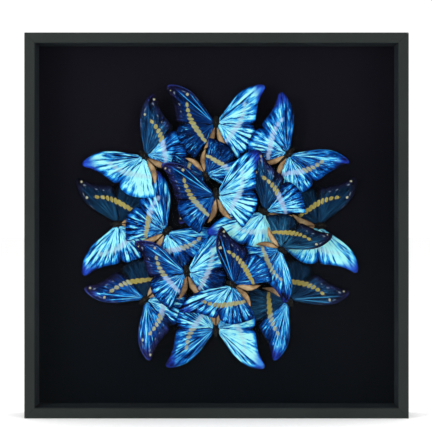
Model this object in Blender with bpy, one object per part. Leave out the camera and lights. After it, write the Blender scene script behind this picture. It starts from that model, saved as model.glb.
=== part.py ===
# Fifteen set butterflies over a black board in a glazed box frame.
# Metres, +Z up. The glass faces -Y, and the frame stands on its bottom rail over the origin.

import math

import bmesh
import bpy

GAP = 0.0003  # air between two pieces that touch

# Box frame
FRAME_WIDTH = 0.500
FRAME_HEIGHT = 0.502
FRAME_DEPTH = 0.060
FACE_WIDTH = 0.0135  # front face of a rail
LIP_DEPTH = 0.003  # lip that holds the glass
WALL = 0.006  # rail behind the lip
CHAMFER = 0.0006

# Layers behind the lip, front to back
GLASS_THICKNESS = 0.002
BOARD_FRONT = 0.047  # depth of the board's face behind the frame's face
BOARD_THICKNESS = 0.003
BACK_THICKNESS = 0.003

# Sawtooth hanger on the back board
HANGER_LENGTH = 0.046
HANGER_HEIGHT = 0.010
HANGER_THICKNESS = 0.001
HANGER_TEETH = 9
TOOTH_DEPTH = 0.0022
HANGER_DROP = 0.030  # from the frame's top to the hanger's middle
SCREW_INSET = 0.004
SCREW_HEAD_RADIUS = 0.0026
SCREW_HEAD_HEIGHT = 0.0014
SCREW_SIDES = 12

# Butterfly, at size 1
WING_ROOT = 0.0046  # from the body's axis to the wing's hinge
WING_THICKNESS = 0.0008
WING_RAISE = 4  # degrees that a wing climbs from its hinge
RESTING_HEIGHT = 0.006  # from the board to the wings of the lowest butterflies
BODY_SIDES = 8

# Wing outline in millimetres from the middle of the body: sideways, towards the head
FOREWING_EDGE = [
    (4.6, 5.3),
    (10.6, 13.9),
    (17, 23),
    (25.7, 33.7),
    (35.6, 42.2),
    (46, 47.5),
    (57, 50),
    (64, 49.5),
    (66, 45.5),
    (62.5, 39),
    (58, 29),
    (55.4, 18.5),
    (54, 8),
    (52, 1.5),
    (48, -0.8),
]
HINDWING_EDGE = [
    (51, -5.3),
    (52.5, -12),
    (51.2, -20),
    (47.5, -27.7),
    (41, -35.6),
    (34.5, -42),
    (28.4, -46.5),
    (24.4, -42),
    (20.5, -34.3),
    (17.8, -31),
    (15.8, -32.3),
    (11.2, -29),
    (6, -21),
    (2.4, -12),
    (2.4, -6),
    (4.6, -3),
]

# Body, in millimetres: distance from the thorax towards the head, radius
BODY_PROFILE = [
    (9.5, 0),
    (8.8, 1.6),
    (6.6, 1.9),
    (5.2, 3.2),
    (1.5, 4.1),
    (-2.5, 3.4),
    (-5, 1.9),
    (-11, 2.0),
    (-15, 1.3),
    (-16.5, 0),
]

# Each butterfly: across and up from the frame's middle (mm), heading of the head (degrees from +X
# towards +Z), level above the lowest (mm), size, and how wide the left and right wings spread
BUTTERFLIES = {
    "top": (-1, 135, 90, 10.5, 1.00, 0.98, 0.98),
    "upper_left": (-95, 91, 135, 8.5, 1.03, 0.98, 0.98),
    "upper_right": (95, 94, 44, 12.5, 1.00, 1.00, 0.98),
    "left": (-132, 1.6, 184, 0, 1.01, 0.98, 0.96),
    "right": (136, -1.4, 1, 0, 1.01, 0.95, 0.94),
    "lower_left": (-95, -99, 222, 2, 1.01, 0.96, 0.98),
    "lower_right": (95, -101, 309, 0, 1.01, 0.95, 0.97),
    "bottom": (-1, -139, 269, 4, 1.01, 0.98, 0.98),
    "inner_top": (-15, 66, 295, 12, 0.90, 0.98, 0.98),
    "centre": (0, 40, 98, 19, 1.02, 0.98, 0.98),
    "inner_left": (-67, -9, 45, 3, 0.99, 1.02, 0.98),
    "inner_low_left": (-39, -62, 98, 9, 1.00, 0.95, 0.96),
    "inner_right": (63, 17, 148, 16, 1.00, 0.98, 0.98),
    "inner_low_right": (85, -31.5, 325, 23, 0.90, 0.91, 0.93),
    "inner_low": (21, -78, 154, 27, 0.96, 0.98, 0.98),
}

# Wings set apart from the usual angle, in degrees about the hinge: left, right
SWEEPS = {"lower_right": (7, 0)}
SWEEP_CLEARANCE = 0.00022  # that the hinge moves outward for each degree, to clear the abdomen

HEX = {
    "frame_paint": "3b4240",
    "spacer_black": "17191d",
    "board_black": "121319",
    "back_board": "6b5038",
    "glass": "f2f7f6",
    "hanger_steel": "b9b4a6",
    "wing": "2f7fc4",
    "body_hair": "2a211c",
}
ROUGHNESS = {"frame_paint": 0.5, "glass": 0.03, "hanger_steel": 0.35, "wing": 0.4}
METALLIC = {"hanger_steel": 1.0, "wing": 0.3}
GLASS_ALPHA = 0.12


def millimetres(*values):
    return tuple(value / 1000 for value in values)


def linear(channel):
    return channel / 12.92 if channel <= 0.04045 else ((channel + 0.055) / 1.055) ** 2.4


def finish(name):
    """The material of that name, made once."""
    if name in bpy.data.materials:
        return bpy.data.materials[name]
    material = bpy.data.materials.new(name)
    material.use_nodes = True
    shader = material.node_tree.nodes["Principled BSDF"]
    code = HEX[name]
    colour = [linear(int(code[i : i + 2], 16) / 255) for i in (0, 2, 4)]
    shader.inputs["Base Color"].default_value = (*colour, 1)
    shader.inputs["Roughness"].default_value = ROUGHNESS.get(name, 0.7)
    shader.inputs["Metallic"].default_value = METALLIC.get(name, 0)
    if name == "glass":
        shader.inputs["Alpha"].default_value = GLASS_ALPHA
    return material


def add_piece(name, shape, material):
    """A closed mesh as an object of that name."""
    bmesh.ops.remove_doubles(shape, verts=shape.verts, dist=1e-6)
    bmesh.ops.recalc_face_normals(shape, faces=shape.faces)
    mesh = bpy.data.meshes.new(name)
    shape.to_mesh(mesh)
    shape.free()
    mesh.materials.append(finish(material))
    piece = bpy.data.objects.new(name, mesh)
    bpy.context.scene.collection.objects.link(piece)
    return piece


def extruded(outline, along):
    """The outline's points as a face, drawn out by a vector."""
    shape = bmesh.new()
    corners = [shape.verts.new(point) for point in outline]
    face = shape.faces.new(corners)
    drawn = bmesh.ops.extrude_face_region(shape, geom=[face])
    moved = [item for item in drawn["geom"] if isinstance(item, bmesh.types.BMVert)]
    bmesh.ops.translate(shape, verts=moved, vec=along)
    return shape


def layer(name, material, front, thickness):
    """A sheet that fills the frame inside its walls, its face at that depth."""
    edge = WALL + GAP
    across = FRAME_WIDTH / 2 - edge
    outline = [
        (-across, front - FRAME_DEPTH / 2, edge),
        (across, front - FRAME_DEPTH / 2, edge),
        (across, front - FRAME_DEPTH / 2, FRAME_HEIGHT - edge),
        (-across, front - FRAME_DEPTH / 2, FRAME_HEIGHT - edge),
    ]
    return add_piece(name, extruded(outline, (0, thickness, 0)), material)


def mitred_set(prefix, material, profile):
    """Four strips round the frame. The profile's points are (inset from the outer edge, depth)."""
    sides = {
        "bottom": (FRAME_WIDTH, FRAME_HEIGHT, 0),
        "right": (FRAME_HEIGHT, FRAME_WIDTH, -90),
        "top": (FRAME_WIDTH, FRAME_HEIGHT, 180),
        "left": (FRAME_HEIGHT, FRAME_WIDTH, 90),
    }
    for side, (length, across, turn) in sides.items():
        shape = bmesh.new()
        for end in (-1, 1):
            corners = []
            for inset, depth in profile:
                reach = length / 2 - inset - GAP / 2
                spot = (end * reach, depth - FRAME_DEPTH / 2, inset - across / 2)
                corners.append(shape.verts.new(spot))
            shape.faces.new(corners)
        bmesh.ops.bridge_loops(shape, edges=shape.edges[:])
        strip = add_piece(f"{prefix}_{side}", shape, material)
        strip.rotation_euler.y = math.radians(turn)
        strip.location.z = FRAME_HEIGHT / 2


def make_frame():
    rail = [
        (CHAMFER, 0),
        (FACE_WIDTH - CHAMFER, 0),
        (FACE_WIDTH, CHAMFER),
        (FACE_WIDTH, LIP_DEPTH),
        (WALL, LIP_DEPTH),
        (WALL, FRAME_DEPTH),
        (0, FRAME_DEPTH),
        (0, CHAMFER),
    ]
    mitred_set("rail", "frame_paint", rail)
    glass_front = LIP_DEPTH + GAP
    spacer_front = glass_front + GLASS_THICKNESS + GAP
    spacer = [
        (WALL + GAP, spacer_front),
        (FACE_WIDTH, spacer_front),
        (FACE_WIDTH, BOARD_FRONT - GAP),
        (WALL + GAP, BOARD_FRONT - GAP),
    ]
    mitred_set("spacer", "spacer_black", spacer)
    layer("glass_pane", "glass", glass_front, GLASS_THICKNESS)
    layer("mount_board", "board_black", BOARD_FRONT, BOARD_THICKNESS)
    back_front = BOARD_FRONT + BOARD_THICKNESS + GAP
    layer("back_board", "back_board", back_front, BACK_THICKNESS)
    make_hanger(back_front + BACK_THICKNESS + GAP - FRAME_DEPTH / 2)


def make_hanger(front):
    """A sawtooth plate and its two screws, lying on the back board."""
    middle = FRAME_HEIGHT - HANGER_DROP
    top = middle + HANGER_HEIGHT / 2
    bottom = middle - HANGER_HEIGHT / 2
    half = HANGER_LENGTH / 2
    toothed = half - 2 * SCREW_INSET
    outline = [(half, front, top), (-half, front, top), (-half, front, bottom)]
    step = 2 * toothed / HANGER_TEETH
    for tooth in range(HANGER_TEETH):
        start = -toothed + tooth * step
        outline.append((start, front, bottom))
        outline.append((start + step / 2, front, bottom + TOOTH_DEPTH))
    outline += [(toothed, front, bottom), (half, front, bottom)]
    add_piece("hanger_plate", extruded(outline, (0, HANGER_THICKNESS, 0)), "hanger_steel")
    for side, sign in (("left", -1), ("right", 1)):
        shape = bmesh.new()
        bmesh.ops.create_cone(
            shape,
            cap_ends=True,
            segments=SCREW_SIDES,
            radius1=SCREW_HEAD_RADIUS,
            radius2=SCREW_HEAD_RADIUS * 0.7,
            depth=SCREW_HEAD_HEIGHT,
        )
        screw = add_piece(f"hanger_screw_{side}", shape, "hanger_steel")
        screw.rotation_euler.x = -math.pi / 2
        depth = front + HANGER_THICKNESS + GAP + SCREW_HEAD_HEIGHT / 2
        screw.location = (sign * (half - SCREW_INSET), depth, middle)


def wing_shape(side):
    """One side's fore and hind wing as a thin plate, measured from the wing's hinge."""
    outline = []
    for across, forward in FOREWING_EDGE + HINDWING_EDGE:
        x, y = millimetres(across, forward)
        outline.append((side * (x - WING_ROOT), y, -WING_THICKNESS / 2))
    return extruded(outline, (0, 0, WING_THICKNESS))


def body_shape():
    """Head, thorax and abdomen, turned about the line from tail to head."""
    shape = bmesh.new()
    points = [shape.verts.new(millimetres(radius, y, 0)) for y, radius in BODY_PROFILE]
    line = [shape.edges.new(pair) for pair in zip(points, points[1:])]
    bmesh.ops.spin(
        shape,
        geom=points + line,
        axis=(0, 1, 0),
        cent=(0, 0, 0),
        steps=BODY_SIDES,
        angle=math.tau,
    )
    return shape


def make_butterfly(name, across, up, heading, level, size, left_spread, right_spread):
    """A body and its two pairs of wings, on an empty at the thorax whose +Z faces the glass."""
    thorax = bpy.data.objects.new(f"{name}_thorax", None)
    bpy.context.scene.collection.objects.link(thorax)
    depth = BOARD_FRONT - RESTING_HEIGHT - level / 1000
    x, z = millimetres(across, up)
    thorax.location = (x, depth - FRAME_DEPTH / 2, FRAME_HEIGHT / 2 + z)
    thorax.rotation_euler = (math.pi / 2, math.radians(90 - heading), 0)
    thorax.scale = (size, size, size)
    pieces = [add_piece(f"{name}_body", body_shape(), "body_hair")]
    left_sweep, right_sweep = SWEEPS.get(name, (0, 0))
    pairs = (("left", -1, left_spread, left_sweep), ("right", 1, right_spread, right_sweep))
    for word, side, spread, sweep in pairs:
        wings = add_piece(f"{name}_wings_{word}", wing_shape(side), "wing")
        wings.location.x = side * (WING_ROOT + abs(sweep) * SWEEP_CLEARANCE)
        climb = -side * math.radians(WING_RAISE)
        wings.rotation_euler = (0, climb, math.radians(sweep))
        wings.scale.x = spread
        pieces.append(wings)
    for piece in pieces:
        piece.parent = thorax


def main():
    for thing in list(bpy.data.objects):
        bpy.data.objects.remove(thing)
    make_frame()
    for name, place in BUTTERFLIES.items():
        make_butterfly(name, *place)


main()
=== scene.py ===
import math
import random

import bmesh
import bpy
from mathutils import Matrix, Vector


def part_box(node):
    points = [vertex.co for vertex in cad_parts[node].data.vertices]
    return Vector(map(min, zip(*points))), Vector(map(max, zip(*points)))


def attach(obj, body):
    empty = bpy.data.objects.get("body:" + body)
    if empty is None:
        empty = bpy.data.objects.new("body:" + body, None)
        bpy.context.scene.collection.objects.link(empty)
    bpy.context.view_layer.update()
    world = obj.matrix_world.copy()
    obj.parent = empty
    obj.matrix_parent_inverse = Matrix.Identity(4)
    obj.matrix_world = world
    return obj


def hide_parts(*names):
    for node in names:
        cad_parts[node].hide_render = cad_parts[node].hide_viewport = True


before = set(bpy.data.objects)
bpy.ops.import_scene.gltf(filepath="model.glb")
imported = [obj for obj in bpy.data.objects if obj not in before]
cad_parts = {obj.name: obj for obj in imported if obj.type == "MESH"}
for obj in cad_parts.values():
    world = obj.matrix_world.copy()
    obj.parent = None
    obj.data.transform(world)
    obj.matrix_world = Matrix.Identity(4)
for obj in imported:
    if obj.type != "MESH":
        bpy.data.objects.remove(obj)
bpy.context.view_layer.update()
mm = 0.001

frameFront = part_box("rail_bottom")[0].y
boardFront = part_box("mount_board")[0].y
frameMiddle = Vector((0, 0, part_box("rail_top")[1].z / 2))
sideWords = {-1: "left", 1: "right"}


def sRgb(code):
    channels = [int(code[i : i + 2], 16) / 255 for i in (0, 2, 4)]
    linear = [c / 12.92 if c <= 0.04045 else ((c + 0.055) / 1.055) ** 2.4 for c in channels]
    return (*linear, 1)


def addNode(tree, kind, links=None, **settings):
    node = tree.nodes.new("ShaderNode" + kind)
    for key, value in settings.items():
        setattr(node, key, value)
    for key, value in (links or {}).items():
        if isinstance(value, bpy.types.Node):
            value = value.outputs[0]
        if isinstance(value, bpy.types.NodeSocket):
            tree.links.new(value, node.inputs[key])
        else:
            node.inputs[key].default_value = value
    return node


def startMaterial(name):
    material = bpy.data.materials.new(name)
    material.use_nodes = True
    tree = material.node_tree
    return material, tree, tree.nodes["Principled BSDF"]


def setRamp(node, stops):
    ramp = node.color_ramp
    while len(ramp.elements) > 1:
        ramp.elements.remove(ramp.elements[-1])
    for index, (place, colour) in enumerate(stops):
        stop = ramp.elements[0] if index == 0 else ramp.elements.new(place)
        stop.position = place
        stop.color = sRgb(colour)


def finishPiece(name, shape, material, slot, *nodes):
    bmesh.ops.recalc_face_normals(shape, faces=shape.faces)
    mesh = bpy.data.meshes.new(name)
    shape.to_mesh(mesh)
    shape.free()
    mesh.shade_smooth()
    mesh.materials.append(material)
    piece = bpy.data.objects.new(name, mesh)
    bpy.context.scene.collection.objects.link(piece)
    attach(piece, "root")
    if nodes:
        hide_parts(*nodes)
    return piece


# frame, board and glass finishes
framePaint = {"colour": "1a1f1d", "worn": "202524", "roughness": 0.5, "specular": 0.1}
spacerPaint = {"colour": "282d32", "worn": "31373d", "roughness": 0.7, "specular": 0.05}
boardPaper = {
    "tones": [(0.05, "020409"), (0.25, "03060c"), (0.6, "0a0a11"), (1.0, "110f17")],
    "roughness": 0.9,
    "specular": 0.03,
}
# the pane's dark tint and its strengths give painted shade over all that lies behind the glass
paneGlass = {"tint": "080b0b", "strength": 0.12, "slantStrength": 0.8, "gloss": 0.08, "roughness": 0.02}
hardboard = {"colour": "5d4630", "dark": "47341f", "roughness": 0.62}
zincPlate = {"colour": "b9b6ad", "smooth": 0.22, "rough": 0.45}


def paintedWood(name, options, along):
    # satin paint brushed over fine-grained wood: the grain, 1 mm wide, still shows as long shallow lines
    material, tree, shader = startMaterial(name)
    place = addNode(tree, "TexCoord").outputs["Object"]
    stretch = addNode(tree, "Mapping", {0: place, "Scale": along})
    grain = addNode(tree, "TexNoise", {"Vector": stretch, "Scale": 900, "Detail": 4, "Roughness": 0.6})
    cloud = addNode(tree, "TexNoise", {"Vector": place, "Scale": 14, "Detail": 3})
    blend = addNode(tree, "Math", {0: grain, 1: cloud}, operation="MULTIPLY")
    colour = addNode(tree, "ValToRGB", {0: blend})
    setRamp(colour, [(0.12, options["colour"]), (0.45, options["worn"])])
    gloss = options["roughness"]
    rough = addNode(tree, "MapRange", {0: grain, 3: gloss - 0.08, 4: gloss + 0.1})
    bump = addNode(tree, "Bump", {"Height": grain, "Strength": 0.25, "Distance": 0.0003})
    tree.links.new(colour.outputs[0], shader.inputs["Base Color"])
    tree.links.new(rough.outputs[0], shader.inputs["Roughness"])
    tree.links.new(bump.outputs[0], shader.inputs["Normal"])
    shader.inputs["Specular IOR Level"].default_value = options["specular"]
    return material


def boardMaterial():
    # black mount board: matt paper with a tooth 0.7 mm wide; painted light makes it a little lighter towards
    # the top
    material, tree, shader = startMaterial("black_mount_board")
    place = addNode(tree, "TexCoord").outputs["Object"]
    tooth = addNode(tree, "TexNoise", {"Vector": place, "Scale": 1400, "Detail": 3})
    cloud = addNode(tree, "TexNoise", {"Vector": place, "Scale": 5, "Detail": 2})
    height = addNode(tree, "SeparateXYZ", {0: place}).outputs[2]
    # painted light: the board's colour is made lighter towards the top
    paintedTopLight = addNode(tree, "MapRange", {0: height, 1: 0.02, 2: 0.48, 3: 0.0, 4: 0.75})
    blend = addNode(tree, "Math", {0: tooth, 1: cloud}, operation="MULTIPLY")
    shade = addNode(tree, "Math", {0: blend, 1: paintedTopLight}, operation="ADD")
    colour = addNode(tree, "ValToRGB", {0: shade})
    setRamp(colour, boardPaper["tones"])
    bump = addNode(tree, "Bump", {"Height": tooth, "Strength": 0.3, "Distance": 0.0002})
    tree.links.new(colour.outputs[0], shader.inputs["Base Color"])
    tree.links.new(bump.outputs[0], shader.inputs["Normal"])
    shader.inputs["Roughness"].default_value = boardPaper["roughness"]
    shader.inputs["Specular IOR Level"].default_value = boardPaper["specular"]
    return material


def glassMaterial():
    # polished picture glass with painted shade: a dark veil over the pane dims what lies behind it, more so
    # at a slant
    material, tree, shader = startMaterial("picture_glass_with_painted_shade")
    # painted shade: how strongly the dark veil dims what lies behind, rising at a slant
    facing = addNode(tree, "LayerWeight", {"Blend": 0.5}).outputs["Facing"]
    slant = addNode(tree, "Math", {0: facing, 1: 5}, operation="POWER")
    paintedShadeVeil = addNode(tree, "MapRange", {0: slant, 3: paneGlass["strength"], 4: paneGlass["slantStrength"]})
    tree.links.new(paintedShadeVeil.outputs[0], shader.inputs["Alpha"])
    shader.inputs["Base Color"].default_value = sRgb(paneGlass["tint"])
    shader.inputs["Roughness"].default_value = paneGlass["roughness"]
    shader.inputs["Specular IOR Level"].default_value = paneGlass["gloss"]
    return material


def hardboardMaterial():
    # pressed hardboard: brown fibres 2 mm long under a smooth face, mottled every 30 mm or so
    material, tree, shader = startMaterial("pressed_hardboard")
    place = addNode(tree, "TexCoord").outputs["Object"]
    fibre = addNode(tree, "TexNoise", {"Vector": place, "Scale": 420, "Detail": 5, "Roughness": 0.7})
    mottle = addNode(tree, "TexNoise", {"Vector": place, "Scale": 30, "Detail": 3})
    blend = addNode(tree, "Mix", {0: 0.4, 2: fibre, 3: mottle})
    colour = addNode(tree, "ValToRGB", {0: blend})
    setRamp(colour, [(0.35, hardboard["dark"]), (0.65, hardboard["colour"])])
    bump = addNode(tree, "Bump", {"Height": fibre, "Strength": 0.3, "Distance": 0.0003})
    tree.links.new(colour.outputs[0], shader.inputs["Base Color"])
    tree.links.new(bump.outputs[0], shader.inputs["Normal"])
    shader.inputs["Roughness"].default_value = hardboard["roughness"]
    return material


def zincMaterial():
    # bright zinc plate on pressed steel, with faint rolling marks 3 mm apart
    material, tree, shader = startMaterial("bright_zinc_plate")
    place = addNode(tree, "TexCoord").outputs["Object"]
    stretch = addNode(tree, "Mapping", {0: place, "Scale": (1, 12, 12)})
    marks = addNode(tree, "TexNoise", {"Vector": stretch, "Scale": 350, "Detail": 3})
    rough = addNode(tree, "MapRange", {0: marks, 3: zincPlate["smooth"], 4: zincPlate["rough"]})
    bump = addNode(tree, "Bump", {"Height": marks, "Strength": 0.1, "Distance": 0.0001})
    tree.links.new(rough.outputs[0], shader.inputs["Roughness"])
    tree.links.new(bump.outputs[0], shader.inputs["Normal"])
    shader.inputs["Base Color"].default_value = sRgb(zincPlate["colour"])
    shader.inputs["Metallic"].default_value = 1
    return material


def dressFrame():
    alongX, alongZ = (0.04, 1, 1), (1, 1, 0.04)
    looks = {
        "mount_board": boardMaterial(),
        "glass_pane": glassMaterial(),
        "back_board": hardboardMaterial(),
    }
    zinc = zincMaterial()
    for node in ("hanger_plate", "hanger_screw_left", "hanger_screw_right"):
        looks[node] = zinc
    for words, along in (("bottom top", alongX), ("left right", alongZ)):
        grainWay = "across" if along == alongX else "upright"
        rail = paintedWood(f"satin_paint_on_wood_{grainWay}", framePaint, along)
        spacer = paintedWood(f"matt_black_paint_{grainWay}", spacerPaint, along)
        for side in words.split():
            looks[f"rail_{side}"] = rail
            looks[f"spacer_{side}"] = spacer
    for node, material in looks.items():
        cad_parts[node].data.materials.clear()
        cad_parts[node].data.materials.append(material)


dressFrame()
print("frame, board and glass dressed")


# sideways and forwards from the middle of the body, in millimetres
wingEdges = {
    "forewing": [
        (4.6, 5.3), (10.6, 13.9), (17, 23), (25.7, 33.7), (35.6, 42.2), (46, 47.3), (57, 50), (64, 49.5),
        (66, 45.5), (62.5, 39), (58, 29), (55.4, 18.5), (54, 8), (52.3, 1.7), (48, -0.8), (38, -1.6),
        (18, -2), (6.6, -2.6),
    ],
    "hindwing": [
        (4.6, -1.3), (18, 0.4), (34, 0.4), (45, -0.7), (51, -5.3), (52.5, -12), (51.2, -20), (47.5, -27.7),
        (41, -35.6), (34.5, -42), (28.4, -46.5), (24.4, -42), (20.5, -34.3), (16.2, -29.5), (11.4, -24),
        (6.6, -16), (3.4, -8),
    ],
}
wingRoots = {"forewing": (4.6, 1.5), "hindwing": (4.6, -2.4)}
wingBuild = {
    "hinge": 4.6,
    "sweepClearance": 0.22,
    "raise": 4,
    "edgeSteps": 5,
    "rings": 14,
    "thickness": 0.16,
    "foreLift": 0.3,
    "pleat": 0.1,
    "arch": 0.35,
    "raySpread": 9.5,
    "rayStart": 3,
}
foldBuild = {
    "base": 0.9,
    "rise": 2.1,
    "bulge": 0.8,
    "ripple": 0.12,
    "gap": 1.5,
    "tones": [(0.25, "c6ae88"), (0.45, "a68b65"), (0.65, "7c6142"), (0.9, "46311e")],
}
# inner edge then outer edge of the folded margin, from its start beside the thorax to its tip
foldCourse = [
    (0.3, -6.2, 1.4, -6.0),
    (0.3, -9.5, 4.2, -9.0),
    (0.35, -13.5, 6.3, -13.0),
    (0.5, -17.5, 8.0, -17.0),
    (1.6, -22.0, 9.8, -21.2),
    (4.8, -27.5, 12.2, -26.6),
    (10.6, -32.5, 14.6, -31.0),
    (15.6, -34.8, 16.0, -34.5),
]

# painted light: how bright the scales shine near the root, outwards and along the front edge; painted glints
# in bright strokes; veins (dark below 0), dark stripes towards the edge, tone of the band (0 olive, 1 pale
# blue), teal, purple tip
paintedSheenMoods = {
    "teal": (0.13, 0.14, 0.12, 0.10, 0.08, 0.0, 0.00, 1.0, 0.6),
    "tealFlecked": (0.18, 0.18, 0.15, 0.45, 0.10, 0.0, 0.10, 0.7, 0.7),
    "tealRimmed": (0.13, 0.18, 0.19, 0.30, 0.35, 0.0, 0.05, 0.8, 0.6),
    "navy": (0.15, 0.15, 0.13, 0.30, 0.50, 0.0, 0.10, 0.1, 0.8),
    "navyRayed": (0.17, 0.20, 0.17, 0.60, 0.20, 0.3, 0.20, 0.1, 0.5),
    "deep": (0.24, 0.32, 0.28, 0.50, 0.30, 0.4, 0.30, 0.0, 0.8),
    "deepGold": (0.24, 0.32, 0.28, 0.50, 0.30, 0.4, 0.05, 0.0, 0.8),
    "deepVeined": (0.32, 0.20, 0.29, 0.45, 0.42, 0.0, 0.25, 0.0, 0.9),
    "azure": (0.54, 0.62, 0.42, 0.30, -0.25, 0.3, 0.78, 0.0, 1.0),
    "azureVeined": (0.38, 0.46, 0.44, 0.40, 0.35, 0.2, 0.35, 0.0, 1.0),
    "rayedGold": (0.54, 0.50, 0.40, 0.60, -0.20, 0.6, 0.20, 0.0, 0.6),
    "rayed": (0.54, 0.50, 0.40, 0.60, -0.20, 0.6, 0.70, 0.0, 0.6),
    "cyan": (0.86, 0.78, 0.62, 0.25, -0.50, 0.2, 0.95, 0.0, 1.0),
    "cyanGold": (0.82, 0.74, 0.60, 0.50, -0.35, 0.7, 0.12, 0.0, 0.8),
    "cyanRayed": (0.82, 0.74, 0.60, 0.50, -0.35, 0.7, 0.85, 0.0, 0.8),
    "pale": (1.00, 1.02, 0.76, 0.15, -0.40, 0.2, 1.00, 0.0, 1.0),
    "halfLit": (0.72, 0.20, 0.30, 0.35, 0.10, 0.3, 0.65, 0.0, 0.5),
}

# heading in degrees from +X towards +Z, size, spread of the left and right wings,
# and the painted sheen moods of left forewing, left hindwing, right forewing and right hindwing
butterflies = {
    "top": (90, 1.00, 0.98, 0.98, "navy navyRayed cyan cyanRayed"),
    "upper_left": (135, 1.03, 0.98, 0.98, "cyan pale tealFlecked azure"),
    "upper_right": (44, 1.00, 1.00, 0.98, "azure azure azureVeined azure"),
    "left": (184, 1.01, 0.98, 0.96, "cyan cyanRayed teal teal"),
    "right": (1, 1.01, 0.95, 0.94, "teal teal pale cyan"),
    "lower_left": (222, 1.01, 0.96, 0.98, "deepVeined rayed deepVeined teal"),
    "lower_right": (309, 1.01, 0.95, 0.97, "tealRimmed teal azureVeined teal"),
    "bottom": (269, 1.01, 0.98, 0.98, "pale cyan azureVeined cyanRayed"),
    "inner_top": (295, 0.90, 0.98, 0.98, "azure navyRayed navy navyRayed"),
    "centre": (98, 1.02, 0.98, 0.98, "navy deep cyan cyanRayed"),
    "inner_left": (45, 0.99, 1.02, 0.98, "azure rayedGold azureVeined halfLit"),
    "inner_low_left": (98, 1.00, 0.95, 0.96, "deepVeined rayed cyan halfLit"),
    "inner_right": (148, 1.00, 0.98, 0.98, "cyan pale tealFlecked rayed"),
    "inner_low_right": (325, 0.90, 0.91, 0.93, "teal teal azureVeined deep"),
    "inner_low": (154, 0.96, 0.98, 0.98, "cyanGold rayedGold navy deepGold"),
}
# degrees that a left or right wing is turned about its hinge
wingSweeps = {"lower_right": (7, 0)}

# wings painted with more or less light than their mood gives: near the root, outwards, along the front edge
paintedSheenGains = {
    "top_forewing_right": (1.13, 1.0, 0.82),
    "upper_left_forewing_left": (0.92, 1.08, 0.9),
    "upper_left_forewing_right": (1.4, 1.3, 1.15),
    "upper_left_hindwing_right": (1.0, 0.72, 1.0),
    "upper_right_forewing_left": (0.87, 0.82, 0.95),
    "upper_right_forewing_right": (0.73, 1.05, 0.9),
    "upper_right_hindwing_left": (1.22, 0.97, 1.0),
    "upper_right_hindwing_right": (1.1, 1.18, 1.0),
    "left_forewing_left": (1.06, 0.84, 1.07),
    "left_forewing_right": (1.4, 1.0, 1.1),
    "left_hindwing_left": (0.92, 1.18, 1.0),
    "right_forewing_left": (1.25, 1.0, 1.0),
    "right_forewing_right": (1.08, 1.0, 0.95),
    "right_hindwing_right": (1.0, 1.2, 1.0),
    "lower_left_forewing_left": (1.4, 1.1, 0.93),
    "lower_left_hindwing_left": (1.27, 1.07, 1.0),
    "lower_right_forewing_right": (1.19, 1.0, 1.0),
    "lower_right_hindwing_right": (1.4, 1.45, 1.0),
    "bottom_forewing_left": (1.0, 1.08, 1.0),
    "bottom_forewing_right": (0.9, 1.05, 0.62),
    "bottom_hindwing_left": (0.85, 1.0, 1.0),
    "bottom_hindwing_right": (0.89, 0.8, 1.0),
    "inner_top_forewing_left": (0.95, 1.4, 1.05),
    "inner_top_hindwing_left": (1.25, 1.1, 1.0),
    "inner_top_hindwing_right": (1.2, 1.25, 1.0),
    "centre_forewing_left": (1.25, 1.35, 1.1),
    "centre_forewing_right": (0.94, 0.88, 0.86),
    "centre_hindwing_left": (1.12, 1.1, 1.0),
    "inner_left_forewing_right": (1.03, 0.92, 1.08),
    "inner_left_hindwing_left": (0.8, 1.03, 1.0),
    "inner_left_hindwing_right": (0.96, 1.3, 1.0),
    "inner_low_left_forewing_right": (1.06, 1.0, 1.06),
    "inner_low_left_hindwing_left": (0.88, 0.91, 1.0),
    "inner_right_forewing_left": (0.91, 1.08, 1.1),
    "inner_right_hindwing_left": (1.0, 0.93, 1.0),
    "inner_right_hindwing_right": (1.0, 0.9, 1.0),
    "inner_low_right_forewing_left": (1.7, 1.0, 2.0),
    "inner_low_right_forewing_right": (1.14, 1.07, 1.06),
    "inner_low_right_hindwing_left": (2.2, 1.4, 1.0),
    "inner_low_right_hindwing_right": (1.55, 1.5, 1.0),
    "inner_low_forewing_left": (0.84, 0.72, 1.24),
    "inner_low_forewing_right": (1.0, 1.0, 0.65),
    "inner_low_hindwing_left": (0.9, 0.92, 1.0),
    "inner_low_hindwing_right": (1.12, 1.17, 1.0),
}

# colours by how much light the scales give back, then the band from its root end's tone to its palest
wingColours = {
    "blue": [
        (0.06, "00051d"), (0.14, "001a4e"), (0.21, "002763"), (0.29, "00357f"), (0.37, "04479b"),
        (0.45, "025ebb"), (0.52, "0a77d2"), (0.58, "1f8fe4"), (0.64, "38a6ef"), (0.7, "4dbefa"),
        (0.77, "66dbff"), (0.85, "88f4ff"), (0.96, "aeffff"),
    ],
    "slate": [
        (0.06, "06070f"), (0.14, "121d3a"), (0.21, "182a4d"), (0.29, "203862"), (0.37, "2a4d7b"),
        (0.45, "376593"), (0.52, "4579a6"), (0.58, "5893bd"), (0.64, "6aaad0"), (0.7, "7ec2e2"),
        (0.77, "98dcf2"), (0.87, "b8f3fe"),
    ],
    "teal": [
        (0.06, "030912"), (0.12, "071f37"), (0.165, "0a2b46"), (0.22, "103758"), (0.3, "1a4c6e"),
        (0.5, "418cb2"),
    ],
    "violet": [
        (0.06, "050514"), (0.12, "121437"), (0.2, "162270"), (0.3, "1b34a4"), (0.45, "2656cc"),
        (0.7, "4a9cee"),
    ],
    "purple": [(0.05, "07050e"), (0.12, "191330"), (0.2, "27204e"), (0.35, "3c459a"), (0.6, "7f9fd6")],
    "band": [
        (0.0, "a89c52"), (0.15, "b0ad74"), (0.35, "b0ba9b"), (0.55, "acc4d7"), (0.75, "b4d0fa"),
        (1.0, "baf0fe"),
    ],
    "bandShade": [(0.3, "cccccc"), (0.6, "ffffff")],
    "edgeDot": "7a889b",
    "creamMark": "b5b394",
}
wingSheen = {"metallic": 0.4, "roughness": 0.42, "specular": 0.03}
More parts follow.
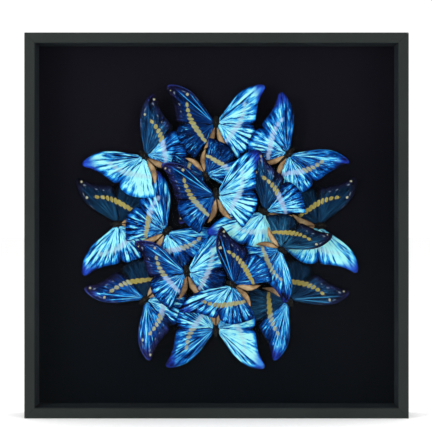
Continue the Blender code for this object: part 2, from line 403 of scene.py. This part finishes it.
# the band's course: forwards place, then sideways place; and how many spots it has left to its end
bandCourse = [
    (-30, 10), (-21, 17.3), (-16, 20.8), (-10.5, 24.6), (-3.3, 29.6), (6, 34.4), (16, 37.6), (24, 38.7),
    (45, 39.5),
]
bandSpots = [
    (-30, 10.2), (-21, 8.8), (-12, 7.2), (-4, 5.7), (2.5, 4.5), (9.5, 3.1), (16.3, 2.0), (24, 1.0), (31, 0.1),
    (45, 0),
]
# sideways place, forwards place and radius
creamMarks = ((38.7, 37.2, 1.7), (61.0, 42.5, 1.3))


def wingMaterial():
    # scaled butterfly wing: thin ridged scales that give blue from navy to pale cyan as the light falls on
    # them, painted into the colour as sheen in streaks that fan from the root, crossed by a band of yellow or
    # lilac spots
    material, tree, shader = startMaterial("iridescent_wing_scales")

    def attribute(name):
        return addNode(tree, "Attribute", attribute_name=name)

    def parts(vector):
        return addNode(tree, "SeparateXYZ", {0: vector}).outputs

    def sums(operation, *values):
        return addNode(tree, "Math", dict(enumerate(values)), operation=operation)

    def product(*values):
        result = values[0]
        for value in values[1:]:
            result = sums("MULTIPLY", result, value)
        return result

    def span(value, low, high, start=0.0, end=1.0):
        links = {0: value, 1: low, 2: high, 3: start, 4: end}
        return addNode(tree, "MapRange", links, interpolation_type="SMOOTHSTEP")

    def scale(value, name):
        ramp = addNode(tree, "ValToRGB", {0: value})
        setRamp(ramp, wingColours[name])
        return ramp

    def blend(mask, under, over):
        return addNode(tree, "Mix", {0: mask, 6: under, 7: over}, data_type="RGBA").outputs[2]

    ray = attribute("ray").outputs["Fac"]
    reach = attribute("reach").outputs["Fac"]
    seed = attribute("seed").outputs["Fac"]
    tip = attribute("tip").outputs["Fac"]
    chart = attribute("chart").outputs["Vector"]
    across, forward, _ = parts(chart)
    inner, outer, costal = parts(attribute("light").outputs["Vector"])
    glints, vein, bandTone = parts(attribute("marks").outputs["Vector"])
    teal = attribute("teal").outputs["Fac"]
    stripes = attribute("stripes").outputs["Fac"]

    # streaks that run from the root to the edge
    def rayNoise(rayScale, reachScale, detail, offset):
        place = {0: product(ray, rayScale), 1: product(reach, reachScale), 2: sums("ADD", seed, offset)}
        place = addNode(tree, "CombineXYZ", place)
        return addNode(tree, "TexNoise", {"Vector": place, "Scale": 1, "Detail": detail, "Roughness": 0.6})

    broad = rayNoise(1.6, 1.8, 2, 0)
    fine = rayNoise(3.6, 4.2, 3, 7)
    patch = rayNoise(0.6, 2.6, 2, 13)
    glintStroke = rayNoise(4.6, 2.6, 2, 21)
    glintFleck = rayNoise(5.5, 11.0, 2, 31)
    # distance in millimetres from the nearest vein
    cell = sums("PINGPONG", ray, 0.5)
    veinGap = product(cell, 8.3, reach)
    veinLine = span(veinGap, 0.15, 0.7, 1, 0)
    nearCosta = product(span(ray, 3.2, 3.8, 0.25, 1), span(ray, 5.2, 5.8, 1, 0.2))
    veinPart = product(veinLine, nearCosta, span(reach, 0.7, 0.95, 1, 0.1))

    level = addNode(tree, "Mix", {0: span(reach, 0.3, 0.75), 2: inner, 3: outer})
    frontEdge = product(span(ray, 3.4, 4.6), span(reach, 0.95, 0.7))
    level = addNode(tree, "Mix", {0: frontEdge, 2: level, 3: costal})
    swing = sums("ADD", product(sums("SUBTRACT", broad, 0.5), 2.4), product(sums("SUBTRACT", fine, 0.5), 3.6))
    swing = sums("ADD", swing, product(sums("SUBTRACT", patch, 0.5), 1.6))
    # dark wings and the palest ones are smoother than those between
    swing = product(swing, span(level, 0.14, 0.34, 0.65, 1.25), span(level, 0.58, 0.95, 1, 0.5))
    striped = product(sums("PINGPONG", sums("ADD", ray, product(sums("SUBTRACT", broad, 0.5), 0.5)), 0.5), 2)
    striping = product(span(striped, 0.05, 0.6, 1, 0), stripes, span(reach, 0.35, 0.7))
    # painted sheen: how much light the scales give back at each point, which picks the blue
    shine = product(level, sums("ADD", swing, 1), sums("SUBTRACT", 1, striping))
    # painted glints: bright strokes and flecks where the scales catch the light
    shine = sums("ADD", shine, product(span(glintStroke, 0.54, 0.68), span(broad, 0.4, 0.6), glints, 0.85))
    shine = sums("ADD", shine, product(span(glintFleck, 0.61, 0.69), span(reach, 0.45, 0.75), glints, 0.85))
    shine = sums("ADD", shine, product(veinPart, vein))
    edge = sums("ADD", reach, product(sums("SUBTRACT", fine, 0.5), 0.25))
    shine = product(shine, span(edge, 0.86, 1.0, 1, 0.5))
    # a thin bright line on the front edge of a veined forewing
    rimPlace = product(span(reach, 0.95, 0.985), span(ray, 3.2, 3.9), span(ray, 5.6, 6.4, 1, 0))
    rimLight = product(rimPlace, sums("MAXIMUM", vein, 0), tip)
    shine = sums("ADD", shine, product(rimLight, 0.9))
    # painted shadow: the two wings are darker along the line where they meet
    meetingShadow = sums("ABSOLUTE", sums("ADD", forward, 1.5))
    meetingShadow = product(span(meetingShadow, 2.0, 6.0, 1, 0), span(reach, 0.5, 0.85))
    shine = product(shine, sums("SUBTRACT", 1, product(meetingShadow, 0.6)))
    blue, slate = scale(shine, "blue"), scale(shine, "slate")
    # cloudy patches 6 mm across are a duller blue
    tint = addNode(
        tree, "TexNoise", {"Vector": chart, "W": seed, "Scale": 0.16, "Detail": 3}, noise_dimensions="4D"
    )
    dull = span(shine, 0.3, 0.75, 0.75, 0.25)
    dull = product(span(tint, 0.45, 0.65), span(reach, 0.7, 0.95, 0.85, 0.25), dull)
    blue = blend(dull, blue, slate)
    colour = blend(teal, blue, scale(shine, "teal"))

    # the tip of the forewing turns purple
    tipPlace = sums("ADD", across, product(sums("SUBTRACT", forward, 40), 0.25))
    tipMask = product(span(sums("ADD", tipPlace, product(sums("SUBTRACT", broad, 0.5), 10)), 47, 60), tip)
    colour = blend(tipMask, colour, scale(product(shine, 0.62), "violet"))

    # the outer margin of a dark forewing is dusky purple
    dusk = product(span(reach, 0.72, 0.95), span(outer, 0.2, 0.4, 0.75, 0), span(tip, 0, 0.4))
    colour = blend(dusk, colour, scale(product(shine, 0.72), "purple"))

    # pale band, broken into round spots towards the tip
    height = addNode(tree, "MapRange", {0: forward, 1: -30, 2: 45})
    course = addNode(tree, "FloatCurve", {"Value": height})
    spotCount = addNode(tree, "FloatCurve", {"Value": height})
    for node, top, points in ((course, 60, bandCourse), (spotCount, 16, bandSpots)):
        line = node.mapping.curves[0]
        for index, (place, value) in enumerate(points):
            spot = line.points[index] if index < 2 else line.points.new(1, 1)
            spot.location = ((place + 30) / 75, value / top)
        node.mapping.update()
    offLine = sums("ABSOLUTE", sums("SUBTRACT", across, product(course, 60)))
    # 0 in the middle of a spot, 1 between two spots
    between = product(sums("PINGPONG", product(spotCount, 16), 0.5), 2)
    neck = addNode(tree, "Mix", {0: span(forward, -6, 10), 2: 0.75, 3: 1.45})
    roundness = sums("SQRT", sums("MAXIMUM", sums("SUBTRACT", 1, product(between, between, neck)), 0))
    courseWidth = sums("MINIMUM", span(forward, -6, 24, 4.9, 2.3), span(forward, -24, -8, 3.2, 4.6))
    ragged = product(sums("SUBTRACT", fine, 0.5), 4.5)
    edgeGap = sums("SUBTRACT", sums("ADD", offLine, ragged), product(courseWidth, roundness))
    soft = product(bandTone, 1.6)
    bandMask = span(edgeGap, sums("SUBTRACT", -0.5, soft), sums("ADD", 0.5, soft), 1, 0)
    bandMask = product(bandMask, span(forward, 27, 29, 1, 0), span(forward, -29, -24))
    bandMask = product(bandMask, sums("SUBTRACT", 1, product(bandTone, 0.25)))
    tone = sums("ADD", bandTone, product(sums("SUBTRACT", broad, 0.5), 0.5))
    layers = {0: 1.0, 6: scale(tone, "band"), 7: scale(fine, "bandShade")}
    band = addNode(tree, "Mix", layers, data_type="RGBA", blend_type="MULTIPLY").outputs[2]
    colour = blend(bandMask, colour, band)

    # small pale dots inside the outer edge of a dark forewing, one between each two veins
    dotAlong = product(sums("SUBTRACT", reach, 0.84), 55)
    dotAcross = product(sums("SUBTRACT", 0.5, cell), 8.3, reach)
    dotGap = sums("SQRT", sums("ADD", product(dotAlong, dotAlong), product(dotAcross, dotAcross)))
    dotMask = product(span(dotGap, 0.6, 1.4, 0.8, 0), span(forward, 6, 12), span(outer, 0.2, 0.4, 1, 0))
    colour = blend(dotMask, colour, sRgb(wingColours["edgeDot"]))
    # two cream marks by the front edge of a dark forewing
    for markAcross, markForward, radius in creamMarks:
        aside, ahead = sums("SUBTRACT", across, markAcross), sums("SUBTRACT", forward, markForward)
        gap = sums("SQRT", sums("ADD", product(aside, aside), product(ahead, ahead)))
        mark = span(sums("ADD", gap, ragged), radius - 0.5, radius + 0.6, 0.9, 0)
        mark = product(mark, span(outer, 0.25, 0.45, 1, 0))
        colour = blend(mark, colour, sRgb(wingColours["creamMark"]))

    ridges = sums("ADD", product(fine, 0.6), product(veinLine, 0.8))
    bump = addNode(tree, "Bump", {"Height": ridges, "Strength": 0.35, "Distance": 0.0003})
    tree.links.new(colour, shader.inputs["Base Color"])
    tree.links.new(bump.outputs[0], shader.inputs["Normal"])
    shader.inputs["Metallic"].default_value = wingSheen["metallic"]
    shader.inputs["Roughness"].default_value = wingSheen["roughness"]
    shader.inputs["Specular IOR Level"].default_value = wingSheen["specular"]
    return material


def foldMaterial():
    # bare tan membrane of the folded inner margin, ribbed along its length and browner at its rim: partly its
    # own tone, partly painted shade where the fold curls away
    material, tree, shader = startMaterial("tan_inner_margin")
    along = addNode(tree, "Attribute", attribute_name="along").outputs["Fac"]
    rim = addNode(tree, "Attribute", attribute_name="rim").outputs["Fac"]
    spread = addNode(tree, "Math", {0: rim, 1: 7}, operation="MULTIPLY")
    place = addNode(tree, "CombineXYZ", {0: spread, 1: along})
    ribs = addNode(tree, "TexNoise", {"Vector": place, "Scale": 1, "Detail": 3, "Roughness": 0.7})
    piecePlace = addNode(tree, "TexCoord").outputs["Object"]
    worn = addNode(tree, "TexNoise", {"Vector": piecePlace, "Scale": 60, "Detail": 3})
    # painted shade and the membrane's own tone: browner towards the rim
    edge = addNode(tree, "Math", {0: rim, 1: 3}, operation="POWER")
    shade = addNode(tree, "Math", {0: edge, 1: 0.35, 2: ribs}, operation="MULTIPLY_ADD")
    uneven = addNode(tree, "MapRange", {0: worn, 1: 0.35, 2: 0.65, 3: -0.22, 4: 0.22})
    shade = addNode(tree, "Math", {0: shade, 1: uneven}, operation="ADD")
    colour = addNode(tree, "ValToRGB", {0: shade})
    setRamp(colour, foldBuild["tones"])
    bump = addNode(tree, "Bump", {"Height": ribs, "Strength": 0.5, "Distance": 0.0004})
    tree.links.new(colour.outputs[0], shader.inputs["Base Color"])
    tree.links.new(bump.outputs[0], shader.inputs["Normal"])
    shader.inputs["Roughness"].default_value = 0.6
    shader.inputs["Specular IOR Level"].default_value = 0.2
    return material


def smoothEdge(points, steps):
    # closed curve through the points
    curve = []
    count = len(points)
    for i in range(count):
        a, b, c, d = (Vector(points[(i + k) % count]) for k in (-1, 0, 1, 2))
        for step in range(steps):
            t = step / steps
            bend = (2 * a - 5 * b + 4 * c - d) * t * t + (3 * b - a - 3 * c + d) * t**3
            curve.append((2 * b + (c - a) * t + bend) / 2)
    return curve


def wingShape(kind):
    # rings drawn in from the edge to the root, so that every line of the mesh fans from the root
    shape = bmesh.new()
    rayLayer = shape.verts.layers.float.new("ray")
    reachLayer = shape.verts.layers.float.new("reach")
    chartLayer = shape.verts.layers.float_vector.new("chart")
    root = Vector((*wingRoots[kind], 0))
    corners = [shape.verts.new((*point, 0)) for point in smoothEdge(wingEdges[kind], wingBuild["edgeSteps"])]
    loop = [shape.edges.new((corners[i - 1], corners[i])) for i in range(len(corners))]
    for vert in corners:
        vert[reachLayer] = 1
    rings = wingBuild["rings"]
    for ring in range(rings - 1, 0, -1):
        drawn = bmesh.ops.extrude_edge_only(shape, edges=loop)["geom"]
        moved = [item for item in drawn if isinstance(item, bmesh.types.BMVert)]
        loop = [item for item in drawn if isinstance(item, bmesh.types.BMEdge)]
        shrink = ring / (ring + 1)
        bmesh.ops.scale(shape, vec=(shrink, shrink, 1), space=Matrix.Translation(-root), verts=moved)
        for vert in moved:
            vert[reachLayer] = ring / rings
    bmesh.ops.contextual_create(shape, geom=loop)
    for vert in shape.verts:
        away = vert.co - root
        angle = math.degrees(math.atan2(away.y, away.x))
        vert[rayLayer] = (angle - wingBuild["rayStart"]) / wingBuild["raySpread"]
        vert[chartLayer] = vert.co.copy()
    return shape


def bodyPlace(name, heading, size):
    # the thorax's frame: +Y towards the head, +Z towards the glass
    low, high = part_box(f"{name}_body")
    turn = Matrix.Rotation(math.radians(90 - heading), 4, "Y") @ Matrix.Rotation(math.pi / 2, 4, "X")
    thoraxFromMiddle = turn @ Vector((0, bodyBuild["middle"] * size * mm, 0))
    return Matrix.Translation((low + high) / 2 + thoraxFromMiddle) @ turn @ Matrix.Scale(size * mm, 4)


def thicken(piece):
    thick = piece.modifiers.new("thickness", "SOLIDIFY")
    thick.thickness = wingBuild["thickness"] * mm
    thick.offset = 0
    return piece


def makeWing(name, kind, side, spread, sweep, mood, place, seed, material):
    shape = wingShape(kind)
    draw = random.Random(seed)
    sway, turn = draw.uniform(0.7, 1.4), draw.uniform(0, 6)
    layers = shape.verts.layers
    rayLayer, reachLayer = layers.float["ray"], layers.float["reach"]
    seedLayer, tipLayer = layers.float.new("seed"), layers.float.new("tip")
    lightLayer, marksLayer = layers.float_vector.new("light"), layers.float_vector.new("marks")
    tealLayer, stripeLayer = layers.float.new("teal"), layers.float.new("stripes")
    inner, outer, costal, glints, vein, stripes, bandTone, teal, tip = paintedSheenMoods[mood]
    word = sideWords[side]
    gain = paintedSheenGains.get(f"{name}_{kind}_{word}", (1, 1, 1))
    light = Vector((inner * gain[0], outer * gain[1], costal * gain[2]))
    for vert in shape.verts:
        ray, reach = vert[rayLayer], vert[reachLayer]
        pleat = wingBuild["pleat"] * math.cos(math.tau * ray) * reach
        arch = wingBuild["arch"] * (4 * reach * (1 - reach) + 0.6 * math.sin(ray * sway + turn) * reach**2)
        vert.co.z = pleat + arch + (wingBuild["foreLift"] if kind == "forewing" else -0.1)
        vert[seedLayer] = seed * 1.37
        vert[tipLayer] = tip if kind == "forewing" else 0
        vert[tealLayer], vert[stripeLayer] = teal, stripes
        vert[lightLayer] = light
        vert[marksLayer] = Vector((glints, vein, bandTone))
    hingeOut = wingBuild["hinge"] + abs(sweep) * wingBuild["sweepClearance"]
    hinge = Matrix.Translation((side * hingeOut, 0, 0))
    turned = Matrix.Rotation(math.radians(sweep), 4, "Z")
    climb = Matrix.Rotation(-side * math.radians(wingBuild["raise"]), 4, "Y")
    flat = Matrix.Diagonal((side * spread, 1, 1, 1)) @ Matrix.Translation((-wingBuild["hinge"], 0, 0))
    bmesh.ops.transform(shape, matrix=place @ hinge @ turned @ climb @ flat, verts=shape.verts)
    return thicken(finishPiece(f"{name}_{kind}_{word}", shape, material, "wing", f"{name}_wings_{word}"))


def makeFold(name, side, place, seed, material):
    # the hindwing's inner margin: a soft leaf folded up beside the abdomen and over it
    shape = bmesh.new()
    bmesh.ops.create_grid(shape, x_segments=10, y_segments=24, size=1)
    alongLayer, rimLayer = shape.verts.layers.float.new("along"), shape.verts.layers.float.new("rim")
    gap = foldBuild["gap"] * random.Random(seed).random() ** 2
    for vert in shape.verts:
        across, along = (vert.co.x + 1) / 2, (vert.co.y + 1) / 2
        step = min(along * (len(foldCourse) - 1), len(foldCourse) - 1.001)
        before, after = foldCourse[int(step)], foldCourse[int(step) + 1]
        innerX, innerY, outerX, outerY = (b + (a - b) * (step % 1) for b, a in zip(before, after))
        settle = min(max((along - 0.45) / 0.45, 0), 1)
        rise = foldBuild["rise"] * (1 - across) ** 1.3 * (1 - 0.8 * settle)
        bulge = foldBuild["bulge"] * math.sin(math.pi * across) * (1 - 0.6 * settle)
        ripple = foldBuild["ripple"] * math.sin(across * 17 + along * 3)
        vert[alongLayer], vert[rimLayer] = along * 4 + seed, abs(2 * across - 1)
        innerX += gap * (1 - along)
        vert.co = Vector((
            innerX + (outerX - innerX) * across,
            innerY + (outerY - innerY) * across,
            foldBuild["base"] + rise + bulge + ripple,
        ))
    mirror = Matrix.Diagonal((side, 1, 1, 1))
    bmesh.ops.transform(shape, matrix=place @ mirror, verts=shape.verts)
    word = sideWords[side]
    return thicken(
        finishPiece(f"{name}_inner_margin_{word}", shape, material, "wing", f"{name}_wings_{word}")
    )


bodyBuild = {
    "sides": 20,
    "middle": 3.5,
    "eyeRadius": 1.05,
    "eyePlace": (1.35, 7.7, 0.5),
    "hairs": 420,
    "hairLength": 2.0,
    "hairRadius": 0.13,
    "tones": [(0.35, "06080a"), (0.52, "111415"), (0.62, "2a241e"), (0.75, "5a4029")],
}
# from the thorax towards the head, and radius
bodyLine = [
    (9.4, 0.2), (9.2, 1.1), (8.4, 1.75), (7.2, 1.9), (6.4, 1.6), (5.9, 1.9), (5.0, 3.1), (3.2, 3.8),
    (1.2, 4.0), (-1.2, 3.7), (-3.0, 2.9), (-4.4, 1.9), (-5.6, 1.75), (-7.0, 2.0), (-8.4, 1.85),
    (-9.8, 1.95), (-11.2, 1.7), (-12.6, 1.7), (-14.0, 1.3), (-15.4, 1.0), (-16.2, 0.2),
]
antennaBuild = {"length": 17, "radius": 0.13, "steps": 12, "root": (0.9, 8.8, 0.9), "splay": 24, "dip": 82}
pinBuild = {"radius": 0.28, "head": 0.75, "above": 5.5, "intoBoard": 1.5}


def bodyMaterial():
    # dry insect cuticle under short hair: dark brown with lighter hair tips
    material, tree, shader = startMaterial("dry_hairy_cuticle")
    place = addNode(tree, "TexCoord").outputs["Object"]
    tuft = addNode(tree, "TexNoise", {"Vector": place, "Scale": 900, "Detail": 3})
    colour = addNode(tree, "ValToRGB", {0: tuft})
    setRamp(colour, bodyBuild["tones"])
    bump = addNode(tree, "Bump", {"Height": tuft, "Strength": 0.5, "Distance": 0.0004})
    tree.links.new(colour.outputs[0], shader.inputs["Base Color"])
    tree.links.new(bump.outputs[0], shader.inputs["Normal"])
    shader.inputs["Roughness"].default_value = 0.75
    shader.inputs["Specular IOR Level"].default_value = 0.15
    return material


def pinMaterial():
    # black enamelled steel insect pin
    material, tree, shader = startMaterial("black_enamelled_pin")
    place = addNode(tree, "TexCoord").outputs["Object"]
    mottle = addNode(tree, "TexNoise", {"Vector": place, "Scale": 2500, "Detail": 2})
    colour = addNode(tree, "ValToRGB", {0: mottle})
    setRamp(colour, [(0.3, "08090b"), (0.8, "1c1e22")])
    tree.links.new(colour.outputs[0], shader.inputs["Base Color"])
    shader.inputs["Roughness"].default_value = 0.3
    return material


def makeBody(name, place, seed, material):
    draw = random.Random(seed)
    shape = bmesh.new()
    points = [shape.verts.new((radius, y, 0)) for y, radius in bodyLine]
    line = [shape.edges.new(pair) for pair in zip(points, points[1:])]
    bmesh.ops.spin(
        shape, geom=points + line, axis=(0, 1, 0), cent=(0, 0, 0), steps=bodyBuild["sides"],
        angle=math.tau, use_merge=True,
    )
    bmesh.ops.holes_fill(shape, edges=shape.edges)
    skin = [face for face in shape.faces if -4 < face.calc_center_median().y < 7.5]
    # sorted by place, because a spun mesh doesn't list its faces in the same order each run
    skin.sort(key=lambda face: tuple(round(value, 3) for value in face.calc_center_median()))
    eyeX, eyeY, eyeZ = bodyBuild["eyePlace"]
    for side in (-1, 1):
        bmesh.ops.create_uvsphere(
            shape, u_segments=12, v_segments=8, radius=bodyBuild["eyeRadius"],
            matrix=Matrix.Translation((side * eyeX, eyeY, eyeZ)),
        )
    bmesh.ops.recalc_face_normals(shape, faces=shape.faces)
    # hair: three-sided spikes that lean back from the thorax
    for _ in range(bodyBuild["hairs"]):
        face = draw.choice(skin)
        foot = face.calc_center_median()
        out = Vector((foot.x, 0, foot.z)).normalized()
        foot -= 0.2 * out
        out += Vector((draw.uniform(-0.5, 0.5), draw.uniform(-1.2, 0.3), draw.uniform(-0.3, 0.3)))
        length = bodyBuild["hairLength"] * draw.uniform(0.5, 1.1)
        aim = out.to_track_quat("Z", "Y").to_matrix().to_4x4()
        bmesh.ops.create_cone(
            shape, cap_ends=True, segments=3, radius1=bodyBuild["hairRadius"], radius2=0.02, depth=length,
            matrix=Matrix.Translation(foot + out.normalized() * length / 2) @ aim,
        )
    bmesh.ops.transform(shape, matrix=place, verts=shape.verts)
    return finishPiece(f"{name}_body_hair", shape, material, "body_hair", f"{name}_body")


def makeAntenna(name, side, place, material):
    # a thin rod that swells to a club at its end
    shape = bmesh.new()
    bmesh.ops.create_circle(shape, segments=6, radius=antennaBuild["radius"], cap_ends=True)
    steps = antennaBuild["steps"]
    face = shape.faces[:][0]
    for step in range(steps):
        drawn = bmesh.ops.extrude_face_region(shape, geom=[face])["geom"]
        moved = [item for item in drawn if isinstance(item, bmesh.types.BMVert)]
        bmesh.ops.delete(shape, geom=[face], context="FACES_ONLY")
        face = [item for item in drawn if isinstance(item, bmesh.types.BMFace)][0]
        bmesh.ops.translate(shape, verts=moved, vec=(0, 0, antennaBuild["length"] / steps))
        # the club swells over two steps, and narrows at its end
        swell = 1.45 if step in (steps - 4, steps - 3) else 0.5 if step == steps - 1 else 1
        middle = Matrix.Translation(-face.calc_center_median())
        bmesh.ops.scale(shape, verts=moved, vec=(swell, swell, 1), space=middle)
    bmesh.ops.holes_fill(shape, edges=shape.edges)
    for vert in shape.verts:
        vert.co.x += 0.008 * vert.co.z**2
    splay = Matrix.Rotation(math.radians(-antennaBuild["splay"]), 4, "Z")
    dip = Matrix.Rotation(math.radians(-antennaBuild["dip"]), 4, "X")
    aim = Matrix.Translation(antennaBuild["root"]) @ splay @ dip
    mirror = Matrix.Diagonal((side, 1, 1, 1))
    bmesh.ops.transform(shape, matrix=place @ mirror @ aim, verts=shape.verts)
    return finishPiece(f"{name}_antenna_{sideWords[side]}", shape, material, "body_hair")


def makePin(name, place, material):
    # straight pin through the thorax into the board, with a small round head
    shape = bmesh.new()
    middle = place.translation
    front = middle.y - pinBuild["above"] * mm
    back = boardFront + pinBuild["intoBoard"] * mm
    turn = Matrix.Rotation(math.pi / 2, 4, "X")
    bmesh.ops.create_cone(
        shape, cap_ends=True, segments=10, radius1=pinBuild["radius"] * mm, radius2=pinBuild["radius"] * mm,
        depth=back - front, matrix=Matrix.Translation((middle.x, (front + back) / 2, middle.z)) @ turn,
    )
    bmesh.ops.create_uvsphere(
        shape, u_segments=12, v_segments=8, radius=pinBuild["head"] * mm,
        matrix=Matrix.Translation((middle.x, front, middle.z)),
    )
    return finishPiece(f"{name}_pin", shape, material, "hanger_steel")


wingLook, foldLook, bodyLook, pinLook = wingMaterial(), foldMaterial(), bodyMaterial(), pinMaterial()
for number, (name, (heading, size, leftSpread, rightSpread, words)) in enumerate(butterflies.items()):
    place = bodyPlace(name, heading, size)
    leftFore, leftHind, rightFore, rightHind = words.split()
    leftSweep, rightSweep = wingSweeps.get(name, (0, 0))
    wings = [
        ("forewing", -1, leftSpread, leftSweep, leftFore),
        ("hindwing", -1, leftSpread, leftSweep, leftHind),
        ("forewing", 1, rightSpread, rightSweep, rightFore),
        ("hindwing", 1, rightSpread, rightSweep, rightHind),
    ]
    for order, (kind, side, spread, sweep, mood) in enumerate(wings):
        makeWing(name, kind, side, spread, sweep, mood, place, 11 * number + 3 * order + 1, wingLook)
    for side in (-1, 1):
        makeFold(name, side, place, number, foldLook)
        makeAntenna(name, side, place, bodyLook)
    makeBody(name, place, number + 5, bodyLook)
    makePin(name, place, pinLook)
print("butterflies made:", len(butterflies))


studio = {
    "paper": [(0.0, "f2f2f2"), (1.0, "f5f5f5")],
    "floorSize": 8,
    "skyLight": 1.1,
    "skyGloss": 0.25,
    "distance": 1.8955,
    "cameraSide": 10,
    "cameraRise": 40,
    "lens": 121.5,
    "shift": (-0.019, -0.0435),
}
# place, point it shines at, size and watts
overFrame = frameFront + 0.13
lamps = {
    "key_left": ((-1.9, -2.1, 0.45), frameMiddle, (0.9, 0.9), 55),
    "key_right": ((1.9, -2.1, 0.45), frameMiddle, (0.9, 0.9), 34),
    "overhead": ((0, overFrame, 1.7), (0, overFrame, 0), (2.5, 0.26), 12),
}


def floorMaterial():
    # seamless background paper: matt and near white, with a faint mottle 3 mm across
    material, tree, shader = startMaterial("seamless_paper")
    place = addNode(tree, "TexCoord").outputs["Object"]
    tooth = addNode(tree, "TexNoise", {"Vector": place, "Scale": 300, "Detail": 2})
    colour = addNode(tree, "ValToRGB", {0: tooth})
    setRamp(colour, studio["paper"])
    tree.links.new(colour.outputs[0], shader.inputs["Base Color"])
    shader.inputs["Roughness"].default_value = 0.9
    shader.inputs["Specular IOR Level"].default_value = 0
    return material


def addLight(name, place, aim, size, power):
    lamp = bpy.data.lights.new(name, "AREA")
    lamp.shape = "RECTANGLE"
    lamp.size, lamp.size_y = size
    lamp.energy = power
    light = bpy.data.objects.new(name, lamp)
    bpy.context.scene.collection.objects.link(light)
    light.location = place
    light.rotation_euler = (Vector(aim) - Vector(place)).to_track_quat("-Z", "Y").to_euler()
    light.visible_camera = False
    return light


def makeStudio():
    shape = bmesh.new()
    bmesh.ops.create_grid(shape, x_segments=2, y_segments=2, size=studio["floorSize"])
    mesh = bpy.data.meshes.new("paper_floor")
    shape.to_mesh(mesh)
    shape.free()
    mesh.materials.append(floorMaterial())
    floor = bpy.data.objects.new("paper_floor", mesh)
    bpy.context.scene.collection.objects.link(floor)

    scene = bpy.context.scene
    scene.world = bpy.data.worlds.new("studio")
    scene.world.use_nodes = True
    tree = scene.world.node_tree
    tree.nodes.clear()
    mirrored = addNode(tree, "LightPath").outputs["Is Glossy Ray"]
    level = addNode(tree, "Mix", {0: mirrored, 2: studio["skyLight"], 3: studio["skyGloss"]})
    sky = addNode(tree, "Background", {"Color": (1, 1, 1, 1), "Strength": level})
    addNode(tree, "OutputWorld", {"Surface": sky})

    for name, lamp in lamps.items():
        addLight(name, *lamp)

    scene.view_settings.view_transform = "Standard"
    lens = bpy.data.cameras.new("camera")
    lens.lens = studio["lens"]
    lens.sensor_width = 36
    lens.shift_x, lens.shift_y = studio["shift"]
    camera = bpy.data.objects.new("camera", lens)
    scene.collection.objects.link(camera)
    camera.location = (
        studio["cameraSide"] * mm,
        frameFront - studio["distance"],
        frameMiddle.z + studio["cameraRise"] * mm,
    )
    camera.rotation_euler = (math.pi / 2, 0, 0)
    scene.camera = camera


makeStudio()
print("studio set")
